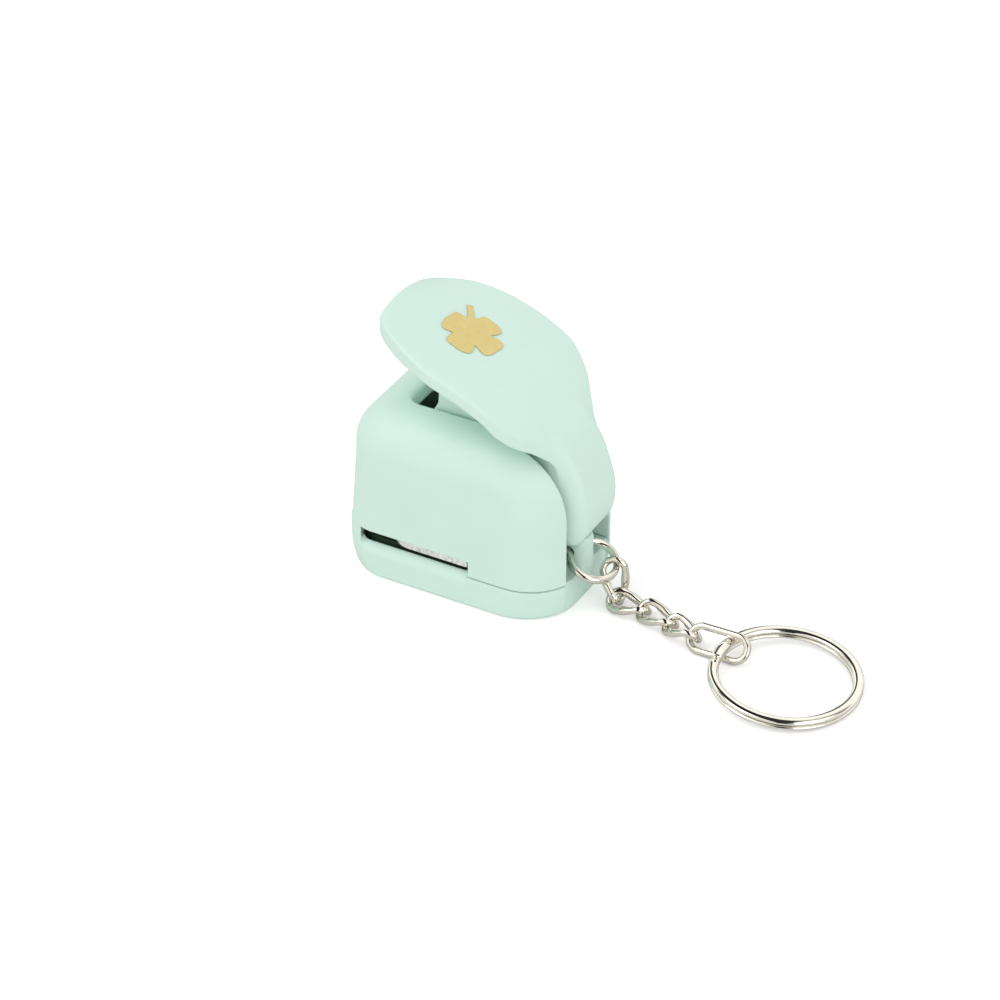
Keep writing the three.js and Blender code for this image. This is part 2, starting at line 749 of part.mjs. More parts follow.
function makeLever() {
  const noseY = cutterY;
  const noseZ = plungerTop + ribNoseGap + ribNoseRadius;
  const neckHeight = padRearHeight - pivotHeight + padThickness;
  const neckRear = neckRearShares.map(([back, up]) => new THREE.Vector2(
    pivotY + neckBehindPivot * back,
    pivotHeight + neckHeight * up,
  ));
  const neck = new THREE.Shape();
  neck.moveTo(pivotY, pivotHeight - neckBossRadius);
  neck.lineTo(neckRear[neckRear.length - 1].x, pivotHeight - neckBossRadius);
  neckRear.reverse().forEach((point) => neck.lineTo(point.x, point.y));
  neckFrontShares.forEach(([ahead, up]) => neck.lineTo(
    pivotY - neckBossRadius * ahead,
    pivotHeight + neckHeight * up,
  ));
  neck.lineTo(pivotY - neckBossRadius, pivotHeight);
  neck.absarc(pivotY, pivotHeight, neckBossRadius, Math.PI, Math.PI * 1.5, false);

  const rib = new THREE.Shape();
  rib.moveTo(noseY + ribNoseRadius, noseZ);
  rib.absarc(noseY, noseZ, ribNoseRadius, 0, Math.PI, true);
  ribFrontShares.forEach(([back, up]) => rib.lineTo(
    noseY + (pivotY - noseY) * back,
    noseZ + (padTopHeight - noseZ) * up,
  ));
  ribTopShares.forEach((back) => {
    const y = noseY + (pivotY - noseY) * back;
    rib.lineTo(y, padTopAt(y) - padThickness / 2);
  });
  rib.lineTo(pivotY, pivotHeight + neckHeight * ribRearShare);
  rib.lineTo(pivotY, pivotHeight);
  rib.lineTo(pivotY - neckBossRadius, pivotHeight);
  rib.lineTo(noseY + plungerFlangeRadius + ribNoseRadius, noseZ - ribNoseRadius);

  const neckWidth = 2 * (channelSide - neckSideGap);
  const ribWidth = openingWidth - 2 * ribSideGap;
  const bore = crossSolid(pinRadius + pinClearance, 2 * padSide, pivotY, pivotHeight);
  const body = extrudeAcross(neck, neckWidth).add(extrudeAcross(rib, ribWidth)).add(padForm());
  addPart("lever", body.subtract(bore), mint);

  const pinLength = 2 * (channelSide + pinSeatDepth);
  addPart("pivot_pin", crossSolid(pinRadius, pinLength, pivotY, pivotHeight), steel);

  const sheet = padForm().translate([0, 0, foilLift + foilThickness]).subtract(padForm().translate([0, 0, foilLift]));
  const column = cloverSolid(
    foilLeafReach, foilStemReach, 0,
    0, padFront + padLength * foilPlaceShare,
    pivotHeight, padTopHeight + padCrown + overrun,
  );
  addPart("clover_foil", sheet.intersect(column), gold);
}

// Jump ring, links and split ring, as they lie on the table.
function makeChain() {
  const ringStart = new THREE.Vector3(0, ringHoleY, ringHoleHeight);
  const ringWay = new THREE.Vector3(0, Math.cos(jumpRingDroop), -Math.sin(jumpRingDroop));
  const ringMiddle = ringStart.clone().addScaledVector(ringWay, jumpRingRadius);
  const ringPath = circlePath(ringMiddle, new THREE.Vector3(1, 0, 0), ringWay, jumpRingRadius);
  addPart("jump_ring", closedWire(ringPath, wireRadius, ringMiddle), nickel);

  linkPlaceShares.forEach((share, k) => {
    const middle = chainPlace(share);
    const path = linkPath(middle, linkLength / 2, linkHalfWidth, linkTurns[k]);
    addPart("chain_link_" + (k + 1), closedWire(path, wireRadius, middle), nickel);
  });
  const middle = chainPlace(endLinkPlaceShares);
  const path = linkPath(middle, endLinkLength / 2, endLinkHalfWidth, linkTurns[linkTurns.length - 1]);
  addPart("end_link", closedWire(path, wireRadius, middle), nickel);
  makeSplitRing();
}

// A place in the chain, from its shares of a link's length.
function chainPlace(shares) {
  return new THREE.Vector3(...shares).multiplyScalar(linkLength).add(new THREE.Vector3(0, rear, 0));
}

function circlePath(middle, across, ahead, radius) {
  const path = [];
  for (let k = 0; k < ringSteps; k++) {
    const turn = (2 * Math.PI * k) / ringSteps;
    const point = middle.clone().addScaledVector(across, radius * Math.sin(turn));
    path.push(point.addScaledVector(ahead, radius * Math.cos(turn)));
  }
  return path;
}

// Middle line of a long link, twisted evenly from its lean at the start to its lean at the end.
function linkPath(middle, halfLength, halfWidth, [heading, dip, startLean, endLean]) {
  const level = new THREE.Vector3(-Math.cos(heading), Math.sin(heading), 0);
  const way = new THREE.Vector3(Math.sin(heading), Math.cos(heading), 0);
  way.multiplyScalar(Math.cos(dip)).setZ(-Math.sin(dip));
  const upright = new THREE.Vector3().crossVectors(way, level);
  const straight = halfLength - halfWidth;
  const path = [];
  for (let end = 0; end < 2; end++) {
    for (let k = 0; k <= linkEndSteps; k++) {
      const turn = Math.PI * (end + k / linkEndSteps) - Math.PI / 2;
      const along = straight * (end === 0 ? 1 : -1) + halfWidth * Math.cos(turn);
      const aside = halfWidth * Math.sin(turn);
      const lean = (startLean + endLean) / 2 + ((endLean - startLean) / 2) * (along / halfLength);
      const point = middle.clone().addScaledVector(way, along);
      point.addScaledVector(level, aside * Math.cos(lean));
      path.push(point.addScaledVector(upright, aside * Math.sin(lean)));
    }
  }
  return path;
}

// Split ring: a flat band wound twice, from one end low to the other end high.
function makeSplitRing() {
  const place = chainPlace([...splitRingPlaceShares, 0]);
  const coilHeight = (splitBandHeight - splitCoilGap) / 2;
  const fullTurn = 4 * Math.PI - splitOpening;
  const rings = [];
  for (let k = 0; k <= splitRingSteps; k++) {
    const turned = (fullTurn * k) / splitRingSteps;
    const turn = splitStart + turned;
    const climb = (coilHeight + splitCoilGap) * smoothShare((turned - splitClimbStart) / splitClimbTurn);
    rings.push(bandSection(turn, climb, coilHeight));
  }
  const band = solid(loft(rings.reverse()));
  const leaned = band.rotate([-THREE.MathUtils.radToDeg(splitRingTilt), 0, 0]);
  addPart("split_ring", leaned.translate([place.x, place.y, splitRingRadius * Math.sin(splitRingTilt)]), nickel);
}

function smoothShare(value) {
  const share = Math.min(Math.max(value, 0), 1);
  return share * share * (3 - 2 * share);
}

// One section of the split ring's band: a rectangle with cut corners.
function bandSection(turn, climb, height) {
  const halfWidth = splitBandWidth / 2;
  const cut = height * splitBandCutShare;
  const outline = [
    [halfWidth - cut, 0],
    [halfWidth, cut],
    [halfWidth, height - cut],
    [halfWidth - cut, height],
    [cut - halfWidth, height],
    [-halfWidth, height - cut],
    [-halfWidth, cut],
    [cut - halfWidth, 0],
  ];
  return outline.map(([out, up]) => {
    const radius = splitRingRadius - halfWidth + out;
    return new THREE.Vector3(radius * Math.cos(turn), radius * Math.sin(turn), climb + up);
  });
}

makeBase();
makeCover();
makePlates();
makeCoverScrews();
makeCutter();
makeLever();
makeChain();

export default craftPunch;
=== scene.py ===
import math

import bmesh
import bpy
import numpy as np
import openvdb
from mathutils import Matrix, Vector


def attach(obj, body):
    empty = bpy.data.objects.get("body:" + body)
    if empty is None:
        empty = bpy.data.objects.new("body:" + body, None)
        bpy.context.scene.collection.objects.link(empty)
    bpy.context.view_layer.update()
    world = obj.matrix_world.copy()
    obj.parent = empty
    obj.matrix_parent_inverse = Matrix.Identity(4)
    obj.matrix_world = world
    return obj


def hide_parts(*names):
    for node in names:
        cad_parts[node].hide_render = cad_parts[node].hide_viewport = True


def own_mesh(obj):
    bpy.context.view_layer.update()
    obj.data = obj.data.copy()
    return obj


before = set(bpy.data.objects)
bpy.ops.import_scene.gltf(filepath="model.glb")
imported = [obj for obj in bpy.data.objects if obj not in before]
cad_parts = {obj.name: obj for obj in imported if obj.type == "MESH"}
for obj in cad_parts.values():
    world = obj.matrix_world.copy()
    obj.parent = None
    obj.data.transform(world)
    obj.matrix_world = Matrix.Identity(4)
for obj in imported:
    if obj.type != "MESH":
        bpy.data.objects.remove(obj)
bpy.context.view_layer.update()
MM = 0.001
PI = math.pi

# Body: plan, heights, fillets, paper mouth, top opening, and the channel for the lever's neck
FRONT, REAR, SIDE = -20.0, 20.2, 13.4
FRONT_R, REAR_R, LEAST_CORNER, FOOT_GROWTH = 6.0, 9.3, 1.2, (2.5, 1.5)
BASE_H, BASE_EDGE, BASE_FLOOR, BASE_WALL, HOLLOW_REAR = 5.7, 0.8, 1.5, 2.0, 7.4
COVER_TOP, COVER_WALL, COVER_DRAFT, COVER_GROWTH, GROWTH_HEIGHT = 30.6, 1.8, 0.8, 1.8, 16
SIDE_FILLET, FRONT_FILLET, REAR_FILLET = 7.0, 6.9, 12.8
SEAM, MOUTH_TOP, MOUTH_FRONT, MOUTH_END = 0.17, 8.8, -16.0, 4.35
OPENING_SIDE, OPENING_FRONT, OPENING_CORNER, OPENING_EDGE = 4.7, -11.3, 2.2, 1.0
COLLAR_WALL, COLLAR_FOOT, COLLAR_REAR, COLLAR_CORNER = 1.2, 27.6, -8, 2.6
CHANNEL_SIDE, CHANNEL_FRONT, CHANNEL_WALL, CHANNEL_RECESS = 7.5, 8.8, 1.5, 0.7

# Base: mouth rim, the throat behind it, and the ring's lug with its eye
RIM_TOP, RIM_EDGE, RIM_FOOT = 6.36, 2.2, 4.1
THROAT_INSET, THROAT_FLOOR, LIP_INSET, LIP_FLOOR, THROAT_FRONT = 1.4, 4.9, 0.55, 6.5, -17
LUG_R, LUG_TOP = 2.1, 11.1
EYE_Y, EYE_Z, EYE_R, EYE_FLARE = 16.8, 8.3, 1.0, 0.4

# Places of the fixings and of the working parts
PIVOT_Y, PIVOT_Z, BORE_R = 14.8, 15.4, 1.35
CUTTER_Y = -9.0
COVER_SCREW_X, COVER_SCREW_Y, COVER_SCREW_BORE = 10.2, 11, 0.85
PLATE_SCREW_X, PLATE_SCREW_BORE = 8.5, 1.0
SHELL_STEP = 0.16


# Distance fields on a grid of points

class Grid:
    """Points of a box as three open arrays, and the mesh of a field's zero surface."""

    def __init__(self, low, high, step):
        self.low, self.step = np.array(low, float), step
        counts = [int(math.ceil((b - a) / step)) + 1 for a, b in zip(low, high)]
        axes = [(a + step * np.arange(n)).astype(np.float32) for a, n in zip(low, counts)]
        self.x, self.y, self.z = np.ix_(*axes)
        self.shape = tuple(counts)

    def mesh(self, name, field):
        limit = 3 * self.step
        values = np.ascontiguousarray(np.clip(np.broadcast_to(field, self.shape), -limit, limit), np.float32)
        grid = openvdb.FloatGrid(background=limit)
        grid.copyFromArray(values)
        points, triangles, quads = grid.convertToPolygons(isovalue=0.0, adaptivity=0.0)
        verts = points * self.step + self.low
        faces = [tuple(f)[::-1] for f in quads.tolist()] + [tuple(f)[::-1] for f in triangles.tolist()]
        return new_object(name, verts, faces)


def length2(a, b):
    return np.sqrt(a * a + b * b)


def meet(a, b, r=0.0):
    """Both fields' common inside, with an outer edge of radius r."""
    if not r:
        return np.maximum(a, b)
    return np.minimum(np.maximum(a, b), -r) + length2(np.maximum(a + r, 0), np.maximum(b + r, 0))


def join(a, b, r=0.0):
    """Both fields' inside, with a hollow fillet of radius r where they meet."""
    return -meet(-a, -b, r)


def cut(a, b, r=0.0):
    """The first field less the second, with the new edge rounded to radius r."""
    return meet(a, -b, r)


def slab(v, low, high):
    """Inside between two planes."""
    return np.maximum(low - v, v - high)


def block(g, x0, x1, y0, y1, z0, z1, r=0.0):
    """Inside of a box with upright edges of radius r."""
    plan = meet(slab(g.x, x0, x1), slab(g.y, y0, y1), r)
    return np.maximum(plan, slab(g.z, z0, z1))


def rod_up(g, r, x, y, z0, z1):
    return np.maximum(length2(g.x - x, g.y - y) - r, slab(g.z, z0, z1))


def rod_across(g, r, y, z, half):
    return np.maximum(length2(g.y - y, g.z - z) - r, np.abs(g.x) - half)


def outline_field(u, v, points):
    """Distance to a closed outline, negative inside, on two open arrays."""
    points = np.asarray(points, float)
    best = np.full(np.broadcast(u, v).shape, 1e9, np.float32)
    inside = np.zeros(best.shape, bool)
    for (u0, v0), (u1, v1) in zip(points, np.roll(points, -1, 0)):
        du, dv = u1 - u0, v1 - v0
        long = du * du + dv * dv
        if long < 1e-12:
            continue
        t = np.clip(((u - u0) * du + (v - v0) * dv) / long, 0, 1)
        best = np.minimum(best, (u - u0 - t * du) ** 2 + (v - v0 - t * dv) ** 2)
        if dv:
            over = (v0 <= v) != (v1 <= v)
            inside ^= over & (u < u0 + (v - v0) / dv * du)
    return np.where(inside, -1, 1) * np.sqrt(best)


def rounded_corner(qx, qy):
    """Distance to a corner whose sides lie at qx = 0 and qy = 0."""
    return np.minimum(np.maximum(qx, qy), 0) + length2(np.maximum(qx, 0), np.maximum(qy, 0))


def plan_field(g, side, front, rear, growth=(0, 0)):
    """Rounded plan outline. Its insets and its corners' growth may change with height."""
    half = SIDE - side
    y0, y1 = FRONT + front, REAR - rear
    radius_front = np.maximum(FRONT_R - np.minimum(side, front), LEAST_CORNER) + growth[0]
    radius_rear = np.maximum(REAR_R - np.minimum(side, rear), LEAST_CORNER) + growth[1]
    middle = (y0 + y1) / 2
    radius = np.where(g.y < middle, radius_front, radius_rear)
    qx = np.abs(g.x) - half + radius
    qy = np.abs(g.y - middle) - (y1 - y0) / 2 + radius
    return rounded_corner(qx, qy) - radius


def even(field, step):
    """A field divided by its slope, so that it measures distance near its surface."""
    slopes = np.gradient(field, step)
    return field / np.maximum(np.sqrt(sum(s * s for s in slopes)), 0.3)


def fillet_inset(radius, depth):
    """How far a quarter-round fillet stands in at a depth below its top."""
    left = np.clip(radius - depth, 0, radius)
    return radius - np.sqrt(np.maximum(radius * radius - left * left, 0))


def cover_field(g, foot, wall):
    """The cover's outer form, or its inner one at a wall's thickness."""
    top = COVER_TOP - wall
    depth = np.maximum(top - g.z, 0)
    draft = COVER_DRAFT * np.maximum(g.z - foot, 0) / (COVER_TOP - BASE_H)
    field = plan_field(g, wall + fillet_inset(SIDE_FILLET - wall, depth),
                       wall + draft + fillet_inset(FRONT_FILLET - wall, depth),
                       wall + fillet_inset(REAR_FILLET - wall, depth),
                       (COVER_GROWTH * np.clip((g.z - foot) / GROWTH_HEIGHT, 0, 1), 0))
    return np.maximum(even(field, g.step), g.z - top)


# Mesh helpers

def new_object(name, verts, faces, smooth=True):
    mesh = bpy.data.meshes.new(name)
    mesh.from_pydata(np.asarray(verts, float) * MM, [], faces)
    mesh.validate()
    obj = bpy.data.objects.new(name, mesh)
    bpy.context.scene.collection.objects.link(obj)
    mesh.polygons.foreach_set("use_smooth", [smooth] * len(mesh.polygons))
    return obj


def outward(obj):
    bm = bmesh.new()
    bm.from_mesh(obj.data)
    bmesh.ops.recalc_face_normals(bm, faces=bm.faces)
    bm.to_mesh(obj.data)
    bm.free()
    return obj


def skin(name, rings, closed=False):
    """Quads between rings of points, open ends capped."""
    rings = [np.asarray(r, float) for r in rings]
    n, count = len(rings[0]), len(rings)
    faces = []
    for r in range(count if closed else count - 1):
        s = (r + 1) % count
        faces += [(r * n + i, r * n + (i + 1) % n, s * n + (i + 1) % n, s * n + i) for i in range(n)]
    if not closed:
        faces += [tuple(range(n))[::-1], tuple((count - 1) * n + i for i in range(n))]
    return outward(new_object(name, np.concatenate(rings), faces))


def wire(name, path, radius, middle, sides=20, closed=True):
    """Round wire along a row of points round a middle. Its radius may change from point to point."""
    path = np.asarray(path, float)
    radii = np.broadcast_to(radius, len(path))
    rings = []
    count = len(path)
    for i, point in enumerate(path):
        ahead, behind = path[(i + 1) % count], path[i - 1]
        if not closed:
            ahead, behind = path[min(i + 1, count - 1)], path[max(i - 1, 0)]
        along = ahead - behind
        along /= np.linalg.norm(along)
        out = point - middle
        out = out - along * out.dot(along)
        out /= np.linalg.norm(out)
        over = np.cross(along, out)
        turns = np.linspace(0, 2 * PI, sides, False)
        rings.append(point + radii[i] * (np.outer(np.cos(turns), out) + np.outer(np.sin(turns), over)))
    return skin(name, rings, closed)


def smooth_row(points, per=10):
    """A Catmull-Rom curve through a row of points."""
    p = np.asarray(points, float)
    p = np.vstack([2 * p[0] - p[1], p, 2 * p[-1] - p[-2]])
    row = []
    for i in range(1, len(p) - 2):
        for t in np.arange(per) / per:
            a, b, c, d = p[i - 1:i + 3]
            row.append(0.5 * (2 * b + (c - a) * t + (2 * a - 5 * b + 4 * c - d) * t ** 2
                              + (3 * b - a - 3 * c + d) * t ** 3))
    row.append(p[-2])
    return np.array(row)


# Materials

def linear(r, g, b):
    return tuple(c / 255 / 12.92 if c <= 10 else ((c / 255 + 0.055) / 1.055) ** 2.4 for c in (r, g, b))


def material(name, colour, roughness, metallic=0.0, grain=0.0, grain_size=2500.0, mottle=0.0, mottle_size=90.0,
             spread=0.05, **sockets):
    """Principled surface with fine grain in bump and roughness and a faint mottle in colour."""
    mat = bpy.data.materials.new(name)
    mat.use_nodes = True
    tree = mat.node_tree
    bsdf = tree.nodes["Principled BSDF"]
    bsdf.inputs["Metallic"].default_value = metallic
    for key, value in sockets.items():
        bsdf.inputs[key.replace("_", " ")].default_value = value
    coords = tree.nodes.new("ShaderNodeTexCoord")

    def noise(scale, detail):
        node = tree.nodes.new("ShaderNodeTexNoise")
        node.inputs["Scale"].default_value = scale
        node.inputs["Detail"].default_value = detail
        tree.links.new(coords.outputs["Object"], node.inputs["Vector"])
        return node.outputs["Fac"]

    fine, broad = noise(grain_size, 3), noise(mottle_size, 3)
    bump = tree.nodes.new("ShaderNodeBump")
    bump.inputs["Strength"].default_value = grain
    bump.inputs["Distance"].default_value = 0.00005
    tree.links.new(fine, bump.inputs["Height"])
    tree.links.new(bump.outputs["Normal"], bsdf.inputs["Normal"])
    rough = tree.nodes.new("ShaderNodeMapRange")
    rough.inputs["To Min"].default_value = max(roughness - spread, 0.03)
    rough.inputs["To Max"].default_value = roughness + spread
    tree.links.new(broad, rough.inputs["Value"])
    tree.links.new(rough.outputs["Result"], bsdf.inputs["Roughness"])
    ramp = tree.nodes.new("ShaderNodeValToRGB")
    ramp.color_ramp.elements[0].position, ramp.color_ramp.elements[1].position = 0.3, 0.7
    ramp.color_ramp.elements[0].color = (*[c * (1 - mottle) for c in colour], 1)
    ramp.color_ramp.elements[1].color = (*[min(c * (1 + mottle), 1) for c in colour], 1)
    tree.links.new(broad, ramp.inputs["Fac"])
    tree.links.new(ramp.outputs["Color"], bsdf.inputs["Base Color"])
    return mat


MINT = material("mint_plastic", linear(208, 234, 224), 0.42, grain=0.12, mottle=0.012, Specular_IOR_Level=0.35)
GOLD = material("gold_foil", linear(222, 202, 134), 0.5, 0.15, grain=0.25, grain_size=3500, mottle=0.03,
                mottle_size=700)
STEEL = material("steel_plate", linear(188, 190, 186), 0.3, 1.0, grain=0.9, grain_size=1100, mottle=0.25,
                 mottle_size=1400, spread=0.12)
# Painted light: a lighter, half-metallic copy of the steel, so the guide plate's edge in the mouth looks lit
LIT_STEEL_PLATE = material("steel_plate_painted_light", linear(238, 239, 235), 0.3, 0.5, grain=1.0, grain_size=1300, mottle=0.3,
                 mottle_size=1500, spread=0.12)
# Painted shade: the die plate is coloured dark green, like the shaded throat under the guide plate
SHADED_DIE_PLATE = material("die_plate_painted_shade", linear(74, 98, 76), 0.45, 0.5, grain=0.2, grain_size=1300, mottle=0.15,
                 mottle_size=500)
NICKEL = material("nickel", linear(228, 224, 213), 0.06, 1.0, grain=0.06, grain_size=1200, mottle=0.04,
                  mottle_size=500, spread=0.03)
# Painted light: the split ring gets a lighter copy of the chain's nickel, so it looks brighter
LIT_RING_NICKEL = material("ring_nickel_painted_light", linear(240, 237, 229), 0.06, 1.0, grain=0.06, grain_size=1200, mottle=0.04,
                       mottle_size=500, spread=0.03)
SPRING = material("spring_wire", linear(190, 190, 188), 0.25, 1.0, grain=0.2, grain_size=1500, mottle=0.04)
ZINC = material("fixings", linear(200, 200, 200), 0.28, 1.0, grain=0.2, grain_size=1500, mottle=0.04)
WHITE = material("white_plastic", linear(226, 232, 228), 0.45, grain=0.15, mottle=0.01)


def dress(obj, mat, slot, body, *nodes):
    obj.data.materials.clear()
    obj.data.materials.append(mat)
    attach(obj, body)
    if nodes:
        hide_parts(*nodes)
    return obj


# Cover

def make_cover():
    g = Grid((-14.2, -20.8, 5.4), (14.2, 20.8, 31.4), SHELL_STEP)
    foot = BASE_H + SEAM
    cover = meet(cover_field(g, foot, 0), foot - g.z, 0.3)
    opening = block(g, -OPENING_SIDE, OPENING_SIDE, OPENING_FRONT, REAR, 15, 40, OPENING_CORNER)
    cover = cut(cover, opening, OPENING_EDGE)
    channel = block(g, -CHANNEL_SIDE, CHANNEL_SIDE, CHANNEL_FRONT, REAR + 5, 0, 40)
    cover = cut(cover, channel, 0.35)
    wall = CHANNEL_SIDE + CHANNEL_WALL
    hollow = cut(cover_field(g, foot - 2, COVER_WALL),
                 block(g, -wall, wall, CHANNEL_FRONT - CHANNEL_WALL, REAR + 5, 0, 40))
    side = OPENING_SIDE + COLLAR_WALL
    collar = block(g, -side, side, OPENING_FRONT - COLLAR_WALL, COLLAR_REAR, COLLAR_FOOT, 40, COLLAR_CORNER)
    cover = cut(cover, cut(hollow, collar))
    for hand in (-1, 1):
        x, y = hand * COVER_SCREW_X, COVER_SCREW_Y
        cover = join(cover, rod_up(g, 1.8, x, y, foot, 13.5))
        cover = cut(cover, rod_up(g, COVER_SCREW_BORE, x, y, 0, 12.4))
    cover = cut(cover, opening)
    cover = cut(cover, channel)
    mouth = block(g, -20, 20, -25, MOUTH_END, 0, MOUTH_TOP)
    cover = cut(cover, mouth, 0.2)
    cover = cut(cover, rod_across(g, BORE_R, PIVOT_Y, PIVOT_Z, 8.85))
    return dress(g.mesh("cover_shell", cover), MINT, "mint_plastic", "base", "top_cover")


# Base

def make_base():
    g = Grid((-14.2, -20.8, -0.6), (14.2, 20.8, 11.8), SHELL_STEP)
    foot = (np.clip(1 - g.z / BASE_H, 0, 1)) ** 2
    plan = plan_field(g, 0, 0, 0, [share * foot for share in FOOT_GROWTH])
    base = meet(plan, -g.z, BASE_EDGE)
    base = meet(base, g.z - BASE_H, 0.25)
    base = cut(base, np.maximum(g.y - MOUTH_END + SEAM + 0.1, RIM_FOOT - g.z))
    rim = meet(plan, g.z - RIM_TOP, RIM_EDGE)
    base = np.minimum(base, np.maximum(np.maximum(rim, g.y - MOUTH_END + SEAM), 4 - g.z))
    lip = meet(np.maximum(plan - 0.02, g.z - MOUTH_TOP - 0.25), g.y - MOUTH_FRONT, 0.2)
    base = np.maximum(join(base, np.maximum(lip, 3 - g.z), 0.8), plan + 0.02)
    recess = np.maximum(slab(g.x, -CHANNEL_SIDE, CHANNEL_SIDE), -g.y)
    r = CHANNEL_RECESS
    base = cut(base, np.maximum(recess, -plan_field(g, r, r, r)), 0.2)
    inner = SIDE - BASE_WALL
    y0, corner = FRONT + BASE_WALL, FRONT_R - BASE_WALL
    qx, qy = np.abs(g.x) - inner + corner, y0 - g.y + corner
    hollow = rounded_corner(qx, qy) - corner
    hollow = np.maximum(np.maximum(hollow, g.y - HOLLOW_REAR), BASE_FLOOR - g.z)
    base = cut(base, hollow, 0.2)
    throat = meet(plan + THROAT_INSET, slab(g.y, THROAT_FRONT, MOUTH_END - 0.8), 0.5)
    base = cut(base, np.maximum(throat, THROAT_FLOOR - g.z), 0.1)
    thinning = np.maximum(plan + LIP_INSET, slab(g.y, THROAT_FRONT, 0))
    base = cut(base, np.maximum(thinning, LIP_FLOOR - g.z), 0.1)
    lug_y = REAR - 0.1 - LUG_R
    column = length2(g.x, g.y - lug_y) - LUG_R
    web = np.maximum(np.abs(g.x) - LUG_R, slab(g.y, lug_y - 6, lug_y))
    lug = meet(np.minimum(column, web), g.z - LUG_TOP, 0.5)
    base = join(base, np.maximum(lug, 1 - g.z), 0.25)
    flare = EYE_FLARE * np.clip((LUG_R - g.x) / (2 * LUG_R), 0, 1)
    eye = length2(g.y - EYE_Y, g.z - EYE_Z) - EYE_R - flare
    base = cut(base, eye + 0 * g.x, 0.2)
    for hand in (-1, 1):
        x, y = hand * PLATE_SCREW_X, MOUTH_END - 0.5
        base = join(base, rod_up(g, 2.1, x, y, 0.4, 4.35))
        base = cut(base, rod_up(g, PLATE_SCREW_BORE, x, y, 1.9, 9))
        x, y = hand * COVER_SCREW_X, COVER_SCREW_Y
        base = join(base, rod_up(g, 1.95, x, y, 0.4, BASE_H))
        base = cut(base, rod_up(g, COVER_SCREW_BORE, x, y, -2, 9))
        base = cut(base, rod_up(g, 1.65, x, y, -2, 0.95), 0.15)
    base = cut(base, rod_up(g, 7.0, 0, CUTTER_Y, -2, BASE_FLOOR + 2), 0.3)
    return dress(g.mesh("base_shell", base), MINT, "mint_plastic", "base", "base_tray")


# Guide plate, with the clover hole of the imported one

def make_guide_plate():
    g = Grid((-13.2, -18.2, 6.9), (13.2, 7.4, 9), 0.12)
    spots = {(round(v.co.x / MM, 3), round(v.co.y / MM, 3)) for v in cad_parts["guide_plate"].data.vertices}
    hole = [(x, y) for x, y in spots if math.hypot(x, y - CUTTER_Y) < 7.5]
    hole.sort(key=lambda spot: math.atan2(spot[1] - CUTTER_Y, spot[0]))
    front, rear, side, corner = -11.0, 3.9, 12.8, 4.0
    middle = (front + rear) / 2
    qx, qy = np.abs(g.x) - side, front - g.y
    plan = np.maximum(rounded_corner(qx + corner, qy + corner) - corner, g.y - rear)
    nose = length2(g.x, g.y - CUTTER_Y) - 8.7
    tail = np.maximum(np.abs(g.x) - 10.5, slab(g.y, middle, 6.5))
    plan = np.minimum(np.minimum(plan, nose), tail)
    plate = meet(plan, slab(g.z, 7.3, 8.6), 0.12)
    plate = cut(plate, outline_field(g.x, g.y, hole) - 0.08 + 0 * g.z)
    for hand in (-1, 1):
        plate = cut(plate, rod_up(g, PLATE_SCREW_BORE, hand * PLATE_SCREW_X, 4.2, 6, 10))
    # The guide plate's material is the lighter copy of the steel, painted light
    return dress(g.mesh("guide_plate_form", plate), LIT_STEEL_PLATE, "steel_plate", "base", "guide_plate")


# Lever. Each row gives a place along the pad, its half width and its rim's drop, as shares of the values above
PAD_FRONT, PAD_LENGTH, PAD_SIDE, PAD_TOP, PAD_DROP = -15.9, 33.0, 13.97, 46.18, 16.8
PAD_THICK, PAD_CROWN = 2.6, 0.7
PAD_ROWS = [
    (0, 0.33, 0.006), (0.012, 0.435, 0.002), (0.04, 0.535, 0), (0.1, 0.665, 0.012), (0.22, 0.845, 0.054),
    (0.3, 0.925, 0.101), (0.4, 0.985, 0.167), (0.49, 1, 0.226), (0.57, 1, 0.286), (0.645, 1, 0.357),
    (0.735, 0.99, 0.458), (0.795, 0.945, 0.548), (0.87, 0.825, 0.685), (0.92, 0.685, 0.792),
    (0.955, 0.585, 0.875), (1, 0.46, 1),
]
PAD = smooth_row([(PAD_FRONT + PAD_LENGTH * a, PAD_SIDE * w, PAD_TOP - PAD_DROP * d) for a, w, d in PAD_ROWS])


def pad_top(x, y):
    rim = np.interp(y, PAD[:, 0], PAD[:, 2])
    half = np.interp(y, PAD[:, 0], PAD[:, 1])
    return rim + PAD_CROWN * (1 - np.clip(x / (half - 0.9), -1, 1) ** 2)


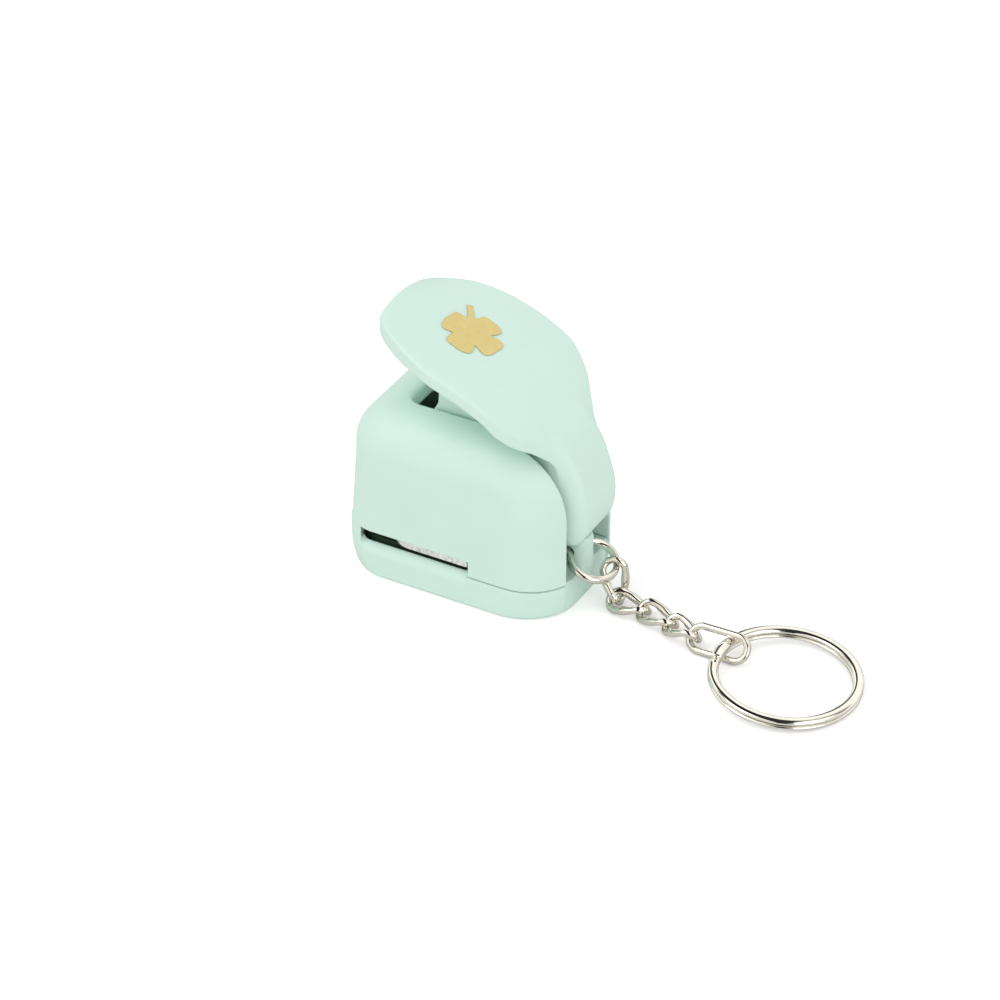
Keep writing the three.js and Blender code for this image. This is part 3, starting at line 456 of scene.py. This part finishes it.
def make_lever():
    g = Grid((-14.9, -17.2, 10.8), (14.9, 22.2, 47.7), 0.2)
    outline = [(w, y) for y, w, _ in PAD] + [(-w, y) for y, w, _ in PAD[::-1]]
    plan = outline_field(g.x, g.y, outline)
    rim = np.interp(g.y, PAD[:, 0], PAD[:, 2])
    slope = np.gradient(PAD[:, 2], PAD[:, 0])
    lean = 1 / np.sqrt(1 + np.interp(g.y, PAD[:, 0], slope) ** 2)
    over = (g.z - pad_top(g.x, g.y)) * lean
    thick = PAD_THICK + np.interp(g.y, [-10, -5, 7.6, 9.4, 11.5, 14], [0.7, 0, 0, 0.6, 0.6, 0])
    under = (rim - thick - g.z) * lean
    pad = np.maximum(meet(over, plan, 0.6), meet(under, plan, 0.5))

    rear = smooth_row([(14.2, 32.4), (16.7, 30.6), (18.5, 28.5), (20.0, 25.8), (21.0, 23.1), (21.7, 20.4),
                       (21.85, 17.7), (21.5, 15.1), (20.7, 13.2), (19.5, 12.0), (18.0, 11.7)], 6)
    boss = [(PIVOT_Y + 3.7 * math.cos(a), PIVOT_Z + 3.7 * math.sin(a)) for a in np.linspace(1.5 * PI, PI, 12)]
    profile = list(map(tuple, rear)) + boss + [(11.1, 23.7), (12.95, 32)]
    profile_gap = outline_field(g.y, g.z, profile)
    bevel = (np.abs(g.x) - 5.2 + 0.45 * profile_gap) / 1.1
    neck = meet(meet(profile_gap, bevel, 0.8), np.abs(g.x) - 6.5, 0.8)

    nose = [(CUTTER_Y + 1.2 * math.cos(a), 23.9 + 1.2 * math.sin(a)) for a in np.linspace(0, -PI, 12)]
    front = smooth_row([(-10.2, 23.9), (-10.3, 24.6), (-6.6, 30.1), (-5.9, 32.8), (-5.6, 43)], 5)[1:]
    shape = nose + list(map(tuple, front)) + [(0.5, 40.9), (5.8, 38.4), (11.2, 34.6), (14.8, 30.3),
                                              (14.8, 15.4), (11.1, 15.4), (0.5, 22.7)]
    rib = meet(outline_field(g.y, g.z, shape), np.abs(g.x) - 4.5, 0.5)
    lever = join(join(pad, rib, 0.6), neck, 1.6)
    lever = cut(lever, np.maximum(length2(g.y - PIVOT_Y, g.z - PIVOT_Z) - BORE_R, 0 * g.x - 1), 0.2)
    return dress(g.mesh("lever_form", lever), MINT, "mint_plastic", "lever", "lever")


# Foil: a four leaf clover draped on the pad

def make_foil():
    cx, cy, lift, thick = 0.7, -1.45, 0.12, 0.15
    stem_turn, stem_half, stem_reach = math.radians(-146.5), 0.5, 6.7
    notches = [math.radians(a) for a in (-43, 37, 127, -135, -158)]
    depths = [1.75, 2.1, 2.1, 1.5, 1.5]
    turns = np.sort(np.concatenate([np.linspace(-PI, PI, 420, False),
                                    stem_turn + np.linspace(-0.45, 0.45, 80)]))
    leaf = 5.0 + 0.18 * np.cos(2 * (turns - math.radians(-15)))
    for k in range(4):
        middle = math.radians(-8 + 90 * k)
        away = np.angle(np.exp(1j * (turns - middle)))
        leaf -= 0.16 * np.exp(-(away / 0.16) ** 2)
    for notch, depth in zip(notches, depths):
        away = np.angle(np.exp(1j * (turns - notch)))
        leaf -= depth * np.exp(-(away / 0.17) ** 2)
    off = np.angle(np.exp(1j * (turns - stem_turn)))
    strip = np.minimum(stem_half / np.maximum(np.abs(np.sin(off)), 1e-4), stem_reach / np.maximum(np.cos(off), 0.2))
    radius = np.where(np.abs(off) < 0.6, np.maximum(leaf, strip), leaf)
    rows = []
    for share, rise in [(s, thick) for s in np.linspace(0.08, 0.97, 14)] + [(1, thick * 0.6), (1, 0)] + \
            [(s, 0) for s in np.linspace(0.97, 0.08, 6)]:
        x, y = cx + share * radius * np.cos(turns), cy + share * radius * np.sin(turns)
        rows.append(np.stack([x, y, pad_top(x, y) + lift + rise], 1))
    return dress(skin("foil_leaf", rows), GOLD, "gold_foil", "lever", "clover_foil")


# Jump ring, links and end link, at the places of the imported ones. The ring's wire thins where link 1 hangs in it,
# and the links' legs swell. Each link gives its middle, half length, half width, and heading, dip and two leans
WIRE, LEG_SWELL, RING_WIRE, RING_NECK, RING_REACH, RING_HALF = 0.595, 0.12, 0.68, 0.12, 4, 4.55
BEND_STEPS, LEG_STEPS = 26, 12
LINKS = [
    ((0.028, 24.564, 3.808), 3.5, 1.85, (44.4, 55.9, 32.3, -60.0)),
    ((1.932, 27.98, 1.47), 3.5, 1.85, (2.7, 1.7, 46.6, -40.1)),
    ((2.632, 33.566, 1.519), 3.5, 1.85, (13.5, 0.7, 45.3, -43.4)),
    ((4.522, 38.886, 1.932), 3.5, 1.85, (23.3, -6.2, 39.7, -50.7)),
    ((5.523, 45.823, 2.282), 5.05, 2.05, (-0.6, -1.1, 51.2, 52.5)),
]


def link_path(middle, half, wide, angles):
    heading, dip, lean0, lean1 = (math.radians(a) for a in angles)
    level = np.array([-math.cos(heading), math.sin(heading), 0])
    way = np.array([math.sin(heading) * math.cos(dip), math.cos(heading) * math.cos(dip), -math.sin(dip)])
    upright = np.cross(way, level)
    path = []
    for end in (0, 1):
        sign = 1 if end == 0 else -1
        for k in range(BEND_STEPS + 1):
            turn = PI * (end + k / BEND_STEPS) - PI / 2
            path.append(((half - wide) * sign + wide * math.cos(turn), wide * math.sin(turn)))
        a, b = path[-1], (-path[-1][0], path[-1][1])
        path += [(a[0] + (b[0] - a[0]) * k / LEG_STEPS, a[1]) for k in range(1, LEG_STEPS)]
    points = []
    for along, aside in path:
        lean = (lean0 + lean1) / 2 + (lean1 - lean0) / 2 * along / half
        points.append(np.array(middle) + way * along + level * aside * math.cos(lean)
                      + upright * aside * math.sin(lean))
    return points


def make_chain():
    droop = math.radians(22)
    way = np.array([0, math.cos(droop), -math.sin(droop)])
    middle = np.array([0.4, EYE_Y, EYE_Z]) + RING_REACH * way
    turns = np.linspace(-PI, PI, 96, False)
    ring = [middle + np.array([RING_HALF, 0, 0]) * math.sin(a) + RING_REACH * way * math.cos(a) for a in turns]
    radii = RING_WIRE - RING_NECK * np.exp(-((turns + 0.32) / 0.5) ** 2)
    dress(wire("ring_wire", ring, radii, middle), NICKEL, "nickel", "jump_ring", "jump_ring")
    leg = np.sin(PI * np.arange(1, LEG_STEPS) / LEG_STEPS) ** 2
    swell = np.tile(np.concatenate([np.zeros(BEND_STEPS + 1), leg]), 2)
    for k, (place, half, wide, angles) in enumerate(LINKS, 1):
        last = k == len(LINKS)
        node = "end_link" if last else "chain_link_%d" % k
        body = "end_link" if last else "chain_%d" % k
        path = link_path(place, half, wide, angles)
        if last:    # its wire is bent to a loop with a small gap in one leg
            path = path[73:] + path[:73]
            path[0] = path[0] * 0.85 + path[1] * 0.15
        radii = WIRE if last else WIRE + LEG_SWELL * swell
        obj = wire(node + "_wire", path, radii, np.array(place), closed=not last)
        dress(obj, NICKEL, "nickel", body, node)


def make_split_ring():
    radius, wide, tilt = 12.4, 1.75, math.radians(3.6)
    gap, full, opening = 0.14, 1.7, math.radians(14)
    high = (full - gap) / 2
    rings = []
    for wound in np.linspace(0, 4 * PI - opening, 420):
        share = min(max((wound - math.radians(315)) / (PI / 2), 0), 1)
        climb = (high + gap) * share * share * (3 - 2 * share)
        turn = math.radians(-66) + wound
        ring = []
        for a in np.linspace(0, 2 * PI, 28, False):
            out = wide / 2 * math.copysign(abs(math.cos(a)) ** 0.75, math.cos(a))
            up = high / 2 * (1 + math.copysign(abs(math.sin(a)) ** 0.75, math.sin(a)))
            r = radius - wide / 2 + out
            ring.append((r * math.cos(turn), r * math.sin(turn), climb + up))
        rings.append(ring)
    obj = skin("split_ring_band", rings)
    move = Matrix.Translation(Vector((7.5, 58.56, radius * math.sin(tilt))) * MM) @ Matrix.Rotation(-tilt, 4, "X")
    obj.data.transform(move)
    return dress(obj, LIT_RING_NICKEL, "nickel", "split_ring", "split_ring")


# Plunger, return spring and pin
SPRING_FOOT, SPRING_LENGTH, SPRING_RISE, SPRING_R, SPRING_WIRE, SPRING_TURNS = 8.65, 11.4, 10.5, 7.65, 0.45, 5
TURN_STEPS = 48


def turned(name, outline, y, steps=72):
    """Turned piece round an upright axis at x = 0."""
    rings = [[(r * math.cos(a), y + r * math.sin(a), z) for a in np.linspace(0, 2 * PI, steps, False)]
             for r, z in outline]
    return skin(name, rings)


def make_inner():
    z0, z1, z2 = 20.1, 21.5, 22.4
    outline = [(0.05, z0), (7.9, z0), (8.3, z0 + 0.3), (8.3, z1 - 0.3), (8.0, z1), (3.8, z1), (3.5, z1 + 0.2),
               (3.4, z2 - 0.3), (3.1, z2), (0.05, z2)]
    dress(turned("plunger_cap", outline, CUTTER_Y), WHITE, "white_plastic", "punch", "plunger")
    rings = []
    count = SPRING_TURNS * TURN_STEPS
    for k in range(count + 1):
        a = 2 * PI * k / TURN_STEPS
        point = np.array([SPRING_R * math.cos(a), CUTTER_Y + SPRING_R * math.sin(a),
                          SPRING_FOOT + SPRING_WIRE + SPRING_RISE * k / count])
        out = np.array([math.cos(a), math.sin(a), 0])
        rings.append([point + SPRING_WIRE * (out * math.cos(s) - np.array([0, 0, 1]) * math.sin(s))
                      for s in np.linspace(0, 2 * PI, 14, False)])
    coil = dress(skin("spring_coil", rings), SPRING, "spring_wire", "base", "return_spring")
    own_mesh(coil)
    pin = [(0.05, -8.7), (1.0, -8.7), (1.2, -8.5), (1.2, 8.5), (1.0, 8.7), (0.05, 8.7)]
    obj = turned("hinge_pin", pin, 0, 40)
    obj.data.transform(Matrix.Translation(Vector((0, PIVOT_Y, PIVOT_Z)) * MM) @ Matrix.Rotation(PI / 2, 4, "Y"))
    dress(obj, ZINC, "fixings", "base", "pivot_pin")


make_cover()
make_base()
make_guide_plate()
make_lever()
make_foil()
make_chain()
make_split_ring()
make_inner()

# Carried CAD nodes keep their shapes and get materials of their own. The die plate's dark green colour is painted
# shade.
CARRIED = {"die_plate": SHADED_DIE_PLATE, "paper_stop": STEEL, "clover_cutter": STEEL,
           "plate_screw_left": ZINC, "plate_screw_right": ZINC, "cover_screw_left": ZINC, "cover_screw_right": ZINC}
for node, mat in CARRIED.items():
    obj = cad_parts[node]
    obj.data.materials.clear()
    obj.data.materials.append(mat)


# Floor: white to the camera, with the object's shadow

def glow_mix(tree, surface, strength):
    """A surface with added white light that only the camera sees."""
    path = tree.nodes.new("ShaderNodeLightPath")
    lift = tree.nodes.new("ShaderNodeMath")
    lift.operation = "MULTIPLY"
    lift.inputs[1].default_value = strength
    tree.links.new(path.outputs["Is Camera Ray"], lift.inputs[0])
    glow = tree.nodes.new("ShaderNodeEmission")
    glow.inputs["Color"].default_value = (1, 1, 1, 1)
    tree.links.new(lift.outputs[0], glow.inputs["Strength"])
    both = tree.nodes.new("ShaderNodeAddShader")
    tree.links.new(surface, both.inputs[0])
    tree.links.new(glow.outputs["Emission"], both.inputs[1])
    return both.outputs["Shader"]


floor = new_object("floor", [(-900, -900, 0), (900, -900, 0), (900, 900, 0), (-900, 900, 0)], [(0, 1, 2, 3)], False)
floor_mat = bpy.data.materials.new("floor_white")
floor_mat.use_nodes = True
tree = floor_mat.node_tree
bsdf = tree.nodes["Principled BSDF"]
bsdf.inputs["Roughness"].default_value = 0.9
# Painted shade in reflections: glossy rays see the floor darker, 0.72 instead of 0.9
shade = tree.nodes.new("ShaderNodeMix")
shade.data_type = "RGBA"
shade.inputs["A"].default_value = (0.9, 0.9, 0.9, 1)
shade.inputs["B"].default_value = (0.72, 0.72, 0.71, 1)
ray = tree.nodes.new("ShaderNodeLightPath")
tree.links.new(ray.outputs["Is Glossy Ray"], shade.inputs["Factor"])
tree.links.new(shade.outputs["Result"], bsdf.inputs["Base Color"])
tree.links.new(glow_mix(tree, bsdf.outputs["BSDF"], 0.3), tree.nodes["Material Output"].inputs["Surface"])
floor.data.materials.append(floor_mat)

# Studio: even white light, with darker bands that only mirror-like surfaces see
world = bpy.data.worlds.new("studio")
bpy.context.scene.world = world
world.use_nodes = True
tree = world.node_tree
background = tree.nodes["Background"]
coords = tree.nodes.new("ShaderNodeTexCoord")
split = tree.nodes.new("ShaderNodeSeparateXYZ")
tree.links.new(coords.outputs["Generated"], split.inputs[0])


def grey_ramp(value, stops):
    """Grey levels along a value, slightly warm."""
    node = tree.nodes.new("ShaderNodeValToRGB")
    while len(node.color_ramp.elements) < len(stops):
        node.color_ramp.elements.new(0.5)
    for element, (place, level) in zip(node.color_ramp.elements, stops):
        element.position = place
        element.color = (level, level * 0.995, level * 0.98, 1)
    tree.links.new(value, node.inputs["Fac"])
    return node.outputs["Color"]


def blend(mode, factor, first, second):
    """Colour mix. Each value is a number, a colour or another node's output."""
    node = tree.nodes.new("ShaderNodeMix")
    node.data_type = "RGBA"
    node.blend_type = mode
    for key, value in (("Factor", factor), ("A", first), ("B", second)):
        if isinstance(value, (float, tuple)):
            node.inputs[key].default_value = value
        else:
            tree.links.new(value, node.inputs[key])
    return node.outputs["Result"]


def arithmetic(mode, *values):
    """Math node. Each value is a number or another node's output."""
    node = tree.nodes.new("ShaderNodeMath")
    node.operation = mode
    for socket, value in zip(node.inputs, values):
        if isinstance(value, float):
            socket.default_value = value
        else:
            tree.links.new(value, socket)
    return node.outputs[0]


def room_axis(direction):
    """How far the looked-at place of the room lies in a direction, from -1 to 1."""
    node = tree.nodes.new("ShaderNodeVectorMath")
    node.operation = "DOT_PRODUCT"
    tree.links.new(coords.outputs["Generated"], node.inputs[0])
    node.inputs[1].default_value = direction
    return node.outputs["Value"]


# The mirrored room: bands by height, a dark upright strip, and a slow fall of light from side to side
bands = grey_ramp(split.outputs["Z"], [
    (0.0, 0.05), (0.09, 0.12), (0.12, 1.25), (0.33, 1.3), (0.36, 0.3), (0.41, 0.35),
    (0.45, 1.2), (0.7, 1.15), (0.74, 0.3), (0.8, 0.4), (0.84, 1.35), (1.0, 1.35),
])
sideways, towards = room_axis((-0.481, 0.876, 0)), room_axis((0.876, 0.481, 0))
narrow = tree.nodes.new("ShaderNodeMapRange")
tree.links.new(towards, narrow.inputs["Value"])
for key, value in (("From Min", -0.8), ("From Max", -0.55), ("To Min", 0.13), ("To Max", 0.0)):
    narrow.inputs[key].default_value = value
spread = arithmetic("ADD", arithmetic("ABSOLUTE", sideways), narrow.outputs["Result"])
strip = grey_ramp(spread, [(0.0, 0.02), (0.19, 0.03), (0.22, 1.0), (1.0, 1.0)])
falloff = grey_ramp(arithmetic("MULTIPLY_ADD", sideways, 0.5, 0.5), [(0.0, 1.1), (0.5, 1.0), (1.0, 0.95)])
room = blend("MULTIPLY", 1.0, blend("MULTIPLY", 1.0, bands, strip), falloff)
path = tree.nodes.new("ShaderNodeLightPath")
sky = grey_ramp(split.outputs["Z"], [(0.0, 0.85), (0.3, 0.82), (0.6, 0.79), (1.0, 0.75)])
light = blend("MIX", path.outputs["Is Glossy Ray"], sky, room)
tree.links.new(light, background.inputs["Color"])
background.inputs["Strength"].default_value = 1.0


def lamp(name, place, target, size, power):
    data = bpy.data.lights.new(name, "AREA")
    data.shape = "SQUARE"
    data.size = size * MM
    data.energy = power
    obj = bpy.data.objects.new(name, data)
    bpy.context.scene.collection.objects.link(obj)
    obj.location = Vector(place) * MM
    obj.rotation_euler = (Vector(target) * MM - obj.location).to_track_quat("-Z", "Y").to_euler()


lamp("key", (300, -290, 430), (0, 0, 20), 260, 0.3)
lamp("high_key", (150, -210, 540), (0, 0, 20), 260, 0.5)
lamp("top", (-60, 260, 420), (0, 10, 15), 260, 0.1)
lamp("fill_rear", (230, 430, 190), (0, 5, 12), 380, 0.42)

# Camera, from the photograph's fitted view. Its focal length is in pixels of a frame that is 1000 wide
AZ, EL, DIST = math.radians(118.78107), math.radians(34.42171), 600.0
SENSOR, FRAME_WIDTH, FOCAL = 36, 1000, 3525.0589
TARGET = Vector((-16.17837, -5.84139, 0))
back = Vector((math.sin(AZ) * math.cos(EL), -math.cos(AZ) * math.cos(EL), math.sin(EL)))
right = Vector((math.cos(AZ), math.sin(AZ), 0))
up = back.cross(right)
cam_data = bpy.data.cameras.new("camera")
cam_data.lens = FOCAL / FRAME_WIDTH * SENSOR
cam_data.sensor_width = SENSOR
cam_data.clip_start, cam_data.clip_end = 0.01, 10
cam = bpy.data.objects.new("camera", cam_data)
bpy.context.scene.collection.objects.link(cam)
turn = Matrix((right, up, back)).transposed().to_4x4()
cam.matrix_world = Matrix.Translation((TARGET + back * DIST) * MM) @ turn
bpy.context.scene.camera = cam
bpy.context.scene.view_settings.view_transform = "Standard"
